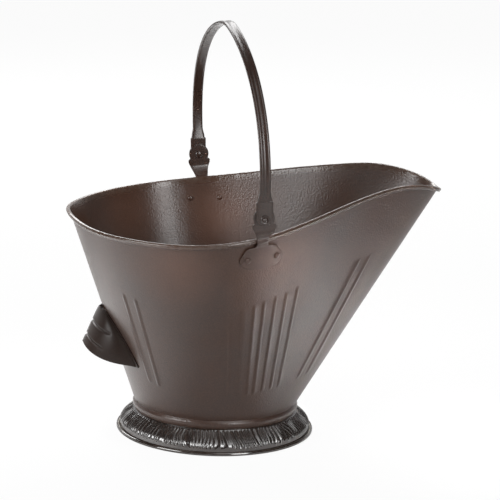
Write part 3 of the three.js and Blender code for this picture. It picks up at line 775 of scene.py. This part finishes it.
def crimp(angle, share):
    """Height of the skirt's pressed wrinkles, 0 to 1, at an angle and a share of the way down.
    The wrinkles run downwards side by side, and lean and merge a little as bark does."""
    foot = bpy.context.scene.scuttle_foot
    count = round(math.tau * foot.radius / foot.crimp_pitch)
    spot = Vector((math.cos(angle), math.sin(angle), 0)) * (count / math.tau)
    lean = noise.noise(spot * 0.16 + Vector((0, 0, 5))) * CRIMP_LEAN * share
    wander = noise.noise(spot * 0.35 + Vector((0, 0, share * 1.1))) * CRIMP_WANDER
    height = 0.5 + 0.5 * math.cos(count * angle + (lean + wander) * math.tau)
    strength = 0.75 + 0.8 * noise.noise(spot * 0.7 + Vector((9, 4, share * 1.5)))
    return 0.5 + (height - 0.5) * min(1.0, max(0.2, strength))


class SCUTTLE_OT_foot_ring(bpy.types.Operator):
    """Models the flared foot ring with its crimped skirt and rolled edge"""

    bl_idname = "scuttle.foot_ring"
    bl_label = "Foot ring"

    def execute(self, context):
        foot = context.scene.scuttle_foot
        bucket = context.scene.scuttle_bucket
        roll_inner = foot.wire_radius + bucket.clearance
        roll_outer = roll_inner + foot.sheet
        roll_radius = foot.radius - roll_outer
        roll_height = roll_outer * math.cos(math.radians(ROLL_REST))
        neck = bucket.base_radius - 0.6 * MM
        shelf = neck - foot.shelf
        top = bucket.band_top - bucket.band_height - bucket.clearance
        low = roll_height + foot.drop
        end = roll_radius - roll_inner
        knee = end - foot.drop * 0.12

        def bell(shift):
            points = []
            for i in range(BELL_ROWS + 1):
                share = i / BELL_ROWS
                radius = mix(neck, knee, math.sin(share * math.pi / 2) ** BELL_POWER)
                points.append((radius - shift, mix(top, low, share) - shift * (1 - share), share))
            for share in (0.25, 0.5, 0.75, 1.0):
                points.append((mix(knee, end, share) - shift, mix(low, roll_height, share), 1.0))
            return points

        def roll(degrees, radius):
            angle = math.radians(degrees)
            height = roll_height + radius * math.sin(angle)
            return (roll_radius + radius * math.cos(angle), max(height, 0.0), 1.0)

        under = [roll(degrees, roll_outer) for degrees in range(195, 433, 13)]
        within = [roll(degrees, roll_inner) for degrees in range(432, 179, -21)]
        section = [(shelf, top - foot.sheet, 0), *bell(foot.sheet), *under, *within]
        section += [*bell(0.0)[::-1][1:], (shelf, top, 0)]
        rows = []
        for i in range(FOOT_COLUMNS):
            angle = math.tau * i / FOOT_COLUMNS
            spoke = Vector((math.cos(angle), math.sin(angle), 0))
            loop = []
            for radius, height, share in section:
                fade = smoothstep(share, 0.04, 0.14) * (1 - smoothstep(share, 0.93, 1.0))
                out = foot.crimp_depth * (crimp(angle, share) - 0.5) * fade if fade > 0 else 0.0
                loop.append(AXIS + spoke * (radius + out * 0.8) + UPWARDS * (height + out * 0.6))
            rows.append(loop)

        def wear(row, column):
            share = section[column][2]
            if 0.0 < share < 1.0:
                return 0.2 * smoothstep(crimp(math.tau * row / FOOT_COLUMNS, share), 0.55, 0.95)
            return 0.3 if share == 1.0 else 0.0

        piece = skin("foot_skirt", rows, closed=True, wear=wear)
        finish(piece, paint("dark_enamel_on_crimped_steel"), "scuttle", "foot_ring", angle=60)
        return {"FINISHED"}


# ---------------------------------------------------------------- ears and rivets
def ear_place(across, up):
    """A spot on the ear's own plane, across it and up from the rim bead, in forward and height."""
    ear = bpy.context.scene.scuttle_ear
    rim, _ = rim_at(rim_u(AXIS.x + ear.forward))
    return Vector((
        rim.x + across * math.cos(ear.tilt) - up * math.sin(ear.tilt),
        0,
        rim.z + across * math.sin(ear.tilt) + up * math.cos(ear.tilt),
    ))


def bead_side():
    """From the middle of the rim wire to a piece that clears the bead."""
    bucket = bpy.context.scene.scuttle_bucket
    return bucket.wire_radius + 2 * bucket.clearance + bucket.sheet


def tab_side():
    """Distance of the tab's inner face from the middle plane."""
    ear = bpy.context.scene.scuttle_ear
    rim, _ = rim_at(rim_u(AXIS.x + ear.forward))
    return rim.y + bead_side() - bpy.context.scene.scuttle_bucket.clearance + ear.standoff


def ear_inner(across, up):
    """The ear's inner face: on the wall, over the bead and out to the tab."""
    bucket = bpy.context.scene.scuttle_bucket
    low = ear_place(across, min(up, -6.5 * MM))
    line = WallLine(side_u(low.x, low.z))
    wing = line.at(low.z).y + bucket.clearance / line.outward.y
    beside = ear_place(across, 0)
    bead = rim_at(rim_u(beside.x))[0].y + bead_side()
    onto_bead = mix(wing, bead, smoothstep(up, -9.5 * MM, -1.5 * MM))
    return mix(onto_bead, tab_side(), smoothstep(up, 0.5 * MM, 12.5 * MM))


EAR_COLUMNS = 32


def ear_rows():
    """The ear from its lowest row to its top: each row goes round its front, sides and back."""
    ear = bpy.context.scene.scuttle_ear
    half = ear.thickness / 2
    rows = []
    for width, up in rounded([(w * MM, h * MM) for w, h in EAR_OUTLINE]):
        loop = []
        for i in range(EAR_COLUMNS):
            angle = math.tau * (i + 0.5) / EAR_COLUMNS
            across = max(width, 0.4 * MM) * swollen(math.cos(angle), 0.55)
            place = ear_place(across, up)
            place.y = ear_inner(across, up) + half + half * swollen(math.sin(angle), 0.3)
            loop.append(place)
        rows.append(loop)
    return capped(rows)


class SCUTTLE_OT_ears(bpy.types.Operator):
    """Models the two riveted ears that carry the bail"""

    bl_idname = "scuttle.ears"
    bl_label = "Ears"

    def execute(self, context):
        left = ear_rows()
        right = [[mirrored(point) for point in row] for row in left]
        enamel = paint("brown_enamel_on_forged_strap")
        for side, rows in (("left", left), ("right", right)):
            piece = skin(f"{side}_ear_plate", rows)
            finish(piece, enamel, "scuttle", f"ear_{side}", angle=55)
        return {"FINISHED"}


def rivet_copy(first, name, node, point, direction):
    """A copy of a rivet modelled at the origin along +Z, with its own mesh, moved to its hole."""
    piece = first.copy()
    piece.data = first.data.copy()
    piece.name = name
    piece.data.name = name
    bpy.context.collection.objects.link(piece)
    turn = UPWARDS.rotation_difference(direction).to_matrix().to_4x4()
    piece.data.transform(Matrix.Translation(point) @ turn)
    enamel = paint("brown_enamel_on_forged_strap")
    finish(piece, enamel, "scuttle", node, angle=40)


# Rivet ends, from the middle of the tail to the middle of the head: shares of the shank's radius,
# and of the head's for a pivot rivet, with millimetres out from the sheet that they bear on
EAR_RIVET_TAIL = ((0, -1.3), (0.8, -1.2), (1.4, -0.6), (1.55, 0), (1, 0))
EAR_RIVET_HEAD = ((1, 0), (1.75, 0), (1.7, 0.7), (1.35, 1.4), (0.75, 1.8), (0, 1.9))
PIVOT_TAIL = ((0, -1.5), (0.392, -1.4), (0.6, -1.1), (0.82, -0.5), (0.88, 0))
PIVOT_HEAD = (
    (0.96, 0), (1, 0.4), (0.9, 1.0), (0.66, 1.0), (0.58, 0.7), (0.5, 1.2), (0.4, 2.2), (0.2, 2.7), (0, 2.8),
)


class SCUTTLE_OT_rivets(bpy.types.Operator):
    """Models one ear rivet and one pivot rivet, and copies them to their holes"""

    bl_idname = "scuttle.rivets"
    bl_label = "Rivets"

    def execute(self, context):
        ear = context.scene.scuttle_ear
        bucket = context.scene.scuttle_bucket
        tail = -bucket.sheet - 0.6 * MM
        seat = ear.thickness + 2 * bucket.clearance
        profile = [(ear.rivet_radius * share, tail + off * MM) for share, off in EAR_RIVET_TAIL]
        profile += [(ear.rivet_radius * share, seat + off * MM) for share, off in EAR_RIVET_HEAD]
        rivet = turned("rivet", profile, 32, Vector((0, 0, 0)), UPWARDS)
        places = {}
        for end, sign in (("rear", -1), ("front", 1)):
            spot = ear_place(sign * ear.rivet_spread, -ear.rivet_drop)
            line = WallLine(side_u(spot.x, spot.z))
            places[f"left_{end}"] = (line.at(spot.z), line.outward)
            places[f"right_{end}"] = (mirrored(line.at(spot.z)), mirrored(line.outward))
        for place, (point, outward) in places.items():
            rivet_copy(rivet, f"{place}_rivet", f"ear_rivet_{place}", point, outward)
        bpy.data.objects.remove(rivet)

        bail = context.scene.scuttle_bail
        tail = tab_side() - bucket.clearance
        seat = tab_side() + ear.thickness + 2 * bucket.clearance + bail.plate_thickness
        shank = ear.pivot_radius / ear.pivot_head
        back = [*PIVOT_TAIL, (shank, 0)]
        front = [(shank, 0), *PIVOT_HEAD]
        profile = [(ear.pivot_head * share, tail + off * MM) for share, off in back]
        profile += [(ear.pivot_head * share, seat + off * MM) for share, off in front]
        pivot = turned("pivot", profile, 40, Vector((0, 0, 0)), UPWARDS)
        spot = ear_place(0, ear.pivot_rise)
        for side, direction in (("left", SIDEWAYS), ("right", -SIDEWAYS)):
            rivet_copy(pivot, f"{side}_pivot", f"pivot_rivet_{side}", spot, direction)
        bpy.data.objects.remove(pivot)
        return {"FINISHED"}


# ---------------------------------------------------------------- bail handle
def bail_curve(share):
    """Place and direction on half the bail's middle line: a cubic curve, sideways and up."""
    bail = bpy.context.scene.scuttle_bail
    ear = bpy.context.scene.scuttle_ear
    clearance = bpy.context.scene.scuttle_bucket.clearance
    half = tab_side() + ear.thickness + clearance + bail.plate_thickness / 2
    arms = (
        Vector((half, bail.plate_length)),
        Vector((half + bail.bulge, bail.plate_length + bail.shoulder)),
        Vector((bail.crown, bail.height)),
        Vector((0, bail.height)),
    )
    rest = 1 - share
    place = arms[0] * rest**3 + arms[1] * 3 * rest**2 * share
    place += arms[2] * 3 * rest * share**2 + arms[3] * share**3
    run = (arms[1] - arms[0]) * rest**2 + (arms[2] - arms[1]) * 2 * rest * share
    run += (arms[3] - arms[2]) * share**2
    return place, run.normalized()


STRAP_COLUMNS, ARCH_ROWS, TOE_ROWS = 40, 150, 12
VALLEY_DEPTH = 0.34  # share of the strap's thickness
VALLEY_REACH = 0.36  # share of its half width
FLARE_STEP = 0.86  # the strap's half width where it meets the flat end, as a share of that end's
FLAT_END = 1.12  # where the flat end stops, as a share of its length above the pivot


def strap_section(place, run, half_width, thickness, valley):
    """A rounded bar, with a valley between two ridges on its outer face."""
    loop = []
    for i in range(STRAP_COLUMNS):
        angle = math.tau * (i + 0.5) / STRAP_COLUMNS
        side = swollen(math.cos(angle), 0.6)
        face = swollen(math.sin(angle), 0.45) * thickness / 2
        if face > 0:
            face -= valley * thickness * math.exp(-((side / VALLEY_REACH) ** 2))
        loop.append(Vector((side * half_width, place.x + run.y * face, place.y - run.x * face)))
    return loop


class SCUTTLE_OT_bail(bpy.types.Operator):
    """Models the bail: a ridged strap with flared flat ends, bent in one arch"""

    bl_idname = "scuttle.bail"
    bl_label = "Bail handle"

    def execute(self, context):
        bail = context.scene.scuttle_bail
        start, _ = bail_curve(0)
        upright = Vector((0, 1))
        half = []
        for i in range(TOE_ROWS + 1):
            angle = math.radians(mix(8, 90, i / TOE_ROWS))
            spot = Vector((start.x, -bail.toe * math.cos(angle)))
            width = bail.plate_half_width * mix(0.25, 1.0, math.sin(angle) ** 0.8)
            half.append((spot, upright, width, bail.plate_thickness, 0.0))
        plate_top = bail.plate_length * FLAT_END
        for share in (0.35, 0.7, 0.95, 1.0):
            spot = Vector((start.x, plate_top * share))
            half.append((spot, upright, bail.plate_half_width, bail.plate_thickness, 0.0))
        for i in range(1, ARCH_ROWS + 1):
            place, run = bail_curve(i / ARCH_ROWS)
            above = (place - start).length
            if place.y < plate_top + 0.2 * MM:
                continue
            drawn = smoothstep(above, 3.0 * MM, 3.0 * MM + bail.flare)
            width = mix(bail.plate_half_width * FLARE_STEP, bail.half_width, drawn)
            valley = VALLEY_DEPTH * smoothstep(above, bail.flare * 0.45, bail.flare * 1.3)
            half.append((place, run, width, bail.thickness, valley))
        rows = [strap_section(*step) for step in half]
        rows += [[mirrored(point) for point in row] for row in rows[-2::-1]]
        lean = Matrix.Rotation(bail.lean, 3, "Y")
        pivot = ear_place(0, context.scene.scuttle_ear.pivot_rise)
        rows = [[pivot + lean @ point for point in row] for row in capped(rows)]
        piece = skin("bail_strap", rows)
        enamel = paint("brown_enamel_on_forged_strap")
        finish(piece, enamel, "bail", "bail_handle", angle=50)
        return {"FINISHED"}


# ---------------------------------------------------------------- rear grip
GRIP_ROWS, GRIP_COLUMNS = 90, 44
# The two pressed lines: share of the way down, and degrees that stay plain beside the wall
GRIP_GROOVES = ((0.42, 24), (0.78, 44))
GROOVE_SPACING = 1.35  # distance along the hood for each unit of height
GRIP_TOP_WIDTH = 0.993  # nearer 1 is narrower at the top
HOOD_POWER = 0.94  # under 1 is fuller than an ellipse


def grip_loop(share):
    """One closed rib of the pressed hood: flange, outer arc, flange, and back along the inside."""
    grip = bpy.context.scene.scuttle_grip
    clearance = bpy.context.scene.scuttle_bucket.clearance
    height = mix(grip.top, grip.bottom, share)
    half_width = grip.half_width * math.sqrt(1 - ((1 - share) * GRIP_TOP_WIDTH) ** 2)
    seat = WallLine(rear_u(half_width, height))
    centre = seat.at(height, clearance)
    centre.y = 0
    back = WallLine(SPANS)
    high_x = back.at(grip.top).x - 3 * grip.sheet
    tip_x = back.at(grip.tip_height).x - grip.reach
    ridge = Vector((mix(high_x, tip_x, share), 0, mix(grip.top, grip.tip_height, share)))
    reach = ridge - centre
    depth_of_grip = grip.top - grip.tip_height

    def groove(degrees):
        depth = 0.0
        for place, plain in GRIP_GROOVES:
            across = (share - place) * depth_of_grip * GROOVE_SPACING / grip.groove_width
            fade = smoothstep(90 - abs(90 - degrees), plain, plain + 7)
            depth += grip.groove_depth * math.exp(-(across**2)) * fade
        return depth

    def arc(inset):
        points = []
        for i in range(2, GRIP_COLUMNS - 1):
            degrees = 180 * i / GRIP_COLUMNS
            angle = math.radians(degrees)
            sunk = inset + groove(degrees)
            shrink = 1 - sunk / max(reach.length, 6 * MM)
            side = 1 - (inset + groove(degrees) * 0.5) / half_width
            across = swollen(math.cos(angle), HOOD_POWER)
            point = centre + SIDEWAYS * half_width * side * across
            point += reach * shrink * swollen(math.sin(angle), HOOD_POWER)
            point -= UPWARDS * grip.sag * share * abs(math.sin(2 * angle))
            points.append(point)
        return points

    def on_wall(width, off):
        return WallLine(rear_u(width, height)).at(height, clearance + off)

    tip = half_width + grip.flange
    root = max(half_width - grip.sheet, 0.2 * MM)
    outer = [on_wall(tip, grip.sheet), on_wall(half_width, grip.sheet)]
    inner = [on_wall(tip, 0), on_wall(root, 0)]
    outside = outer + arc(0.0) + [mirrored(point) for point in outer[::-1]]
    inside = inner + arc(grip.sheet) + [mirrored(point) for point in inner[::-1]]
    return outside + inside[::-1]


class SCUTTLE_OT_grip(bpy.types.Operator):
    """Models the pressed hood on the back wall that the scuttle is tilted by"""

    bl_idname = "scuttle.grip"
    bl_label = "Tilting grip"

    def execute(self, context):
        rows = [grip_loop(mix(0.02, 1.0, i / GRIP_ROWS)) for i in range(GRIP_ROWS + 1)]
        piece = skin("grip_hood", capped(rows))
        enamel = paint("umber_enamel_on_pressed_grip")
        finish(piece, enamel, "scuttle", "tilt_grip", angle=50)
        return {"FINISHED"}


class SCUTTLE_OT_wires(bpy.types.Operator):
    """Gives the rim wire and the foot wire their drawn steel"""

    bl_idname = "scuttle.wires"
    bl_label = "Wires"

    def execute(self, context):
        for name in ("rim_wire", "foot_wire"):
            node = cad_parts[name]
            node.data.materials.clear()
            node.data.materials.append(paint("drawn_steel_wire"))
        return {"FINISHED"}


# ---------------------------------------------------------------- studio
FLOOR_SEEN = 0.96  # how much of the floor's brightness, as the camera sees it, is plain white

# Each softbox: place, what it looks at, width and depth, power, and spread in degrees. The pools
# are small and light the floor beside the bucket, whose leaning wall shows mostly the floor.
SOFTBOXES = {
    "backdrop_softbox": ((0.0, 2.3, 1.5), (0.0, 1.5, 0), (2.4, 1.0), 26, 100),
    "rear_right_pool": ((0.32, 0.42, 0.85), (0.26, 0.26, 0), (0.2, 0.2), 0.5, 60),
    "rear_left_pool": ((-0.3, 0.6, 0.85), (-0.26, 0.45, 0), (0.2, 0.2), 0.2, 60),
    "overhead_softbox": ((0.25, -0.4, 2.0), (0, 0, 0), (0.9, 1.1), 2.5, 180),
    "front_softbox": ((0.75, -2.3, 1.1), (0, 0, 0.2), (0.8, 1.6), 19, 180),
    "high_front_softbox": ((0.3, -1.25, 1.75), (0, 0, 0), (1.4, 0.6), 3, 180),
    "side_softbox": ((-1.5, -0.6, 0.8), (0, 0, 0.15), (0.8, 0.8), 9.5, 180),
    "right_pool": ((0.36, -0.1, 0.75), (0.31, -0.12, 0), (0.15, 0.15), 0.5, 36),
    "left_pool": ((-0.36, 0.15, 0.8), (-0.32, 0.12, 0), (0.15, 0.15), 0.6, 50),
}

# The camera: azimuth, elevation and roll in degrees, focal length in millimetres on a 36 mm
# sensor, and the spot it looks at, in millimetres from the foot ring's middle
CAMERA_ANGLES = (-13.063, 13.397, 1.855)
CAMERA_LENS = 187.2
CAMERA_TARGET = (35.55, 0, 209.19)


def floor_paint():
    """Plain white sweep: seen directly it is white with the object's shadow left in."""
    material, tree = new_material("white_sweep")
    path = add(tree, "ShaderNodeLightPath")
    matt = add(tree, "ShaderNodeBsdfDiffuse", Color=(0.82, 0.82, 0.82, 1))
    white = add(tree, "ShaderNodeEmission", Color=(1, 1, 1, 1), Strength=1.0)
    seen = add(tree, "ShaderNodeMath", {0: path.outputs["Is Camera Ray"]}, operation="MULTIPLY")
    seen.inputs[1].default_value = FLOOR_SEEN
    both = add(
        tree, "ShaderNodeMixShader",
        {0: seen.outputs["Value"], 1: matt.outputs["BSDF"], 2: white.outputs["Emission"]},
    )
    add(tree, "ShaderNodeOutputMaterial", {"Surface": both.outputs["Shader"]})
    return material


def surroundings(sky, glow):
    """Dim room with a white backdrop behind the object. Seen directly it is plain white.
    The backdrop's glow is only seen in reflections: low down, and on the far side."""
    world = bpy.data.worlds.new("white_room")
    bpy.context.scene.world = world
    world.use_nodes = True
    tree = world.node_tree
    tree.nodes.clear()
    path = add(tree, "ShaderNodeLightPath")
    direction = add(tree, "ShaderNodeTexCoord").outputs["Generated"]
    split = add(tree, "ShaderNodeSeparateXYZ", {"Vector": direction})
    behind = add(
        tree, "ShaderNodeMapRange", {"Value": split.outputs["Y"]}, From_Min=0.3, From_Max=0.7, To_Max=glow
    )
    low = add(
        tree, "ShaderNodeMapRange", {"Value": split.outputs["Z"]}, From_Min=0.55, From_Max=0.35
    )
    backdrop = add(
        tree, "ShaderNodeMath", {0: behind.outputs["Result"], 1: low.outputs["Result"]},
        operation="MULTIPLY",
    )
    seen = add(
        tree, "ShaderNodeMath", {0: backdrop.outputs["Value"], 1: path.outputs["Is Glossy Ray"]},
        operation="MULTIPLY",
    )
    room = add(tree, "ShaderNodeMath", {0: seen.outputs["Value"]}, operation="ADD")
    room.inputs[1].default_value = sky
    level = add(
        tree, "ShaderNodeMix", {"Factor": path.outputs["Is Camera Ray"], "A": room.outputs["Value"]},
        data_type="FLOAT",
    )
    level.inputs["B"].default_value = 1.0
    light = add(tree, "ShaderNodeBackground", {"Strength": level.outputs["Result"]}, Color=(1, 1, 1, 1))
    add(tree, "ShaderNodeOutputWorld", {"Surface": light.outputs["Background"]})


def softbox(name, place, target, size, power, spread):
    """Hangs one area light where it looks at its target."""
    data = bpy.data.lights.new(name, "AREA")
    data.shape = "RECTANGLE"
    data.size, data.size_y = size
    data.energy = power
    data.spread = math.radians(spread)
    lamp = bpy.data.objects.new(name, data)
    bpy.context.collection.objects.link(lamp)
    lamp.location = place
    lamp.rotation_euler = (Vector(target) - Vector(place)).to_track_quat("-Z", "Y").to_euler()


class SCUTTLE_OT_stage(bpy.types.Operator):
    """Sets the white sweep, the soft lights and the camera"""

    bl_idname = "scuttle.stage"
    bl_label = "Stage"

    def execute(self, context):
        studio = context.scene.scuttle_studio
        deselect()
        bpy.ops.mesh.primitive_plane_add(size=studio.floor_size)
        floor = context.object
        floor.name = "sweep"
        floor.data.materials.append(floor_paint())
        surroundings(studio.sky, studio.glow)
        for name, values in SOFTBOXES.items():
            softbox(name, *values)

        azimuth, elevation, roll = (math.radians(angle) for angle in CAMERA_ANGLES)
        back = Vector((
            math.sin(azimuth) * math.cos(elevation),
            -math.cos(azimuth) * math.cos(elevation),
            math.sin(elevation),
        ))
        right = Vector((math.cos(azimuth), math.sin(azimuth), 0))
        up = back.cross(right)
        across = right * math.cos(roll) + up * math.sin(roll)
        over = up * math.cos(roll) - right * math.sin(roll)
        target = Vector(CAMERA_TARGET) * MM + AXIS
        place = target + back * studio.camera_distance
        data = bpy.data.cameras.new("camera")
        data.lens = CAMERA_LENS
        data.sensor_width = 36.0
        data.clip_end = 50
        camera = bpy.data.objects.new("camera", data)
        context.collection.objects.link(camera)
        turn = Matrix((across, over, back)).transposed().to_4x4()
        camera.matrix_world = Matrix.Translation(place) @ turn
        context.scene.camera = camera
        context.scene.view_settings.view_transform = "Standard"
        return {"FINISHED"}


# ---------------------------------------------------------------- add-on
STEPS = (
    SCUTTLE_OT_stage,
    SCUTTLE_OT_bucket,
    SCUTTLE_OT_bottom_pan,
    SCUTTLE_OT_foot_ring,
    SCUTTLE_OT_ears,
    SCUTTLE_OT_rivets,
    SCUTTLE_OT_bail,
    SCUTTLE_OT_grip,
    SCUTTLE_OT_wires,
)
SETTINGS = {
    "scuttle_bucket": BucketSettings,
    "scuttle_foot": FootSettings,
    "scuttle_ear": EarSettings,
    "scuttle_bail": BailSettings,
    "scuttle_grip": GripSettings,
    "scuttle_finish": FinishSettings,
    "scuttle_studio": StudioSettings,
}


class SCUTTLE_PT_panel(bpy.types.Panel):
    """Lists the scuttle's settings and its pieces"""

    bl_idname = "SCUTTLE_PT_panel"
    bl_label = "Coal Scuttle"
    bl_space_type = "VIEW_3D"
    bl_region_type = "UI"
    bl_category = "Scuttle"

    def draw(self, context):
        layout = self.layout
        for step in STEPS:
            layout.operator(step.bl_idname)
        for group, settings in SETTINGS.items():
            box = layout.box()
            box.label(text=group.replace("scuttle_", "").capitalize())
            for name in settings.__annotations__:
                box.prop(getattr(context.scene, group), name)


CLASSES = (*SETTINGS.values(), *STEPS, SCUTTLE_PT_panel)


def register():
    for each in CLASSES:
        bpy.utils.register_class(each)
    for name, settings in SETTINGS.items():
        setattr(bpy.types.Scene, name, bpy.props.PointerProperty(type=settings))


def unregister():
    for name in SETTINGS:
        delattr(bpy.types.Scene, name)
    for each in reversed(CLASSES):
        bpy.utils.unregister_class(each)


def main():
    register()
    for step in STEPS:
        group, name = step.bl_idname.split(".")
        getattr(getattr(bpy.ops, group), name)()


if __name__ == "__main__":
    main()
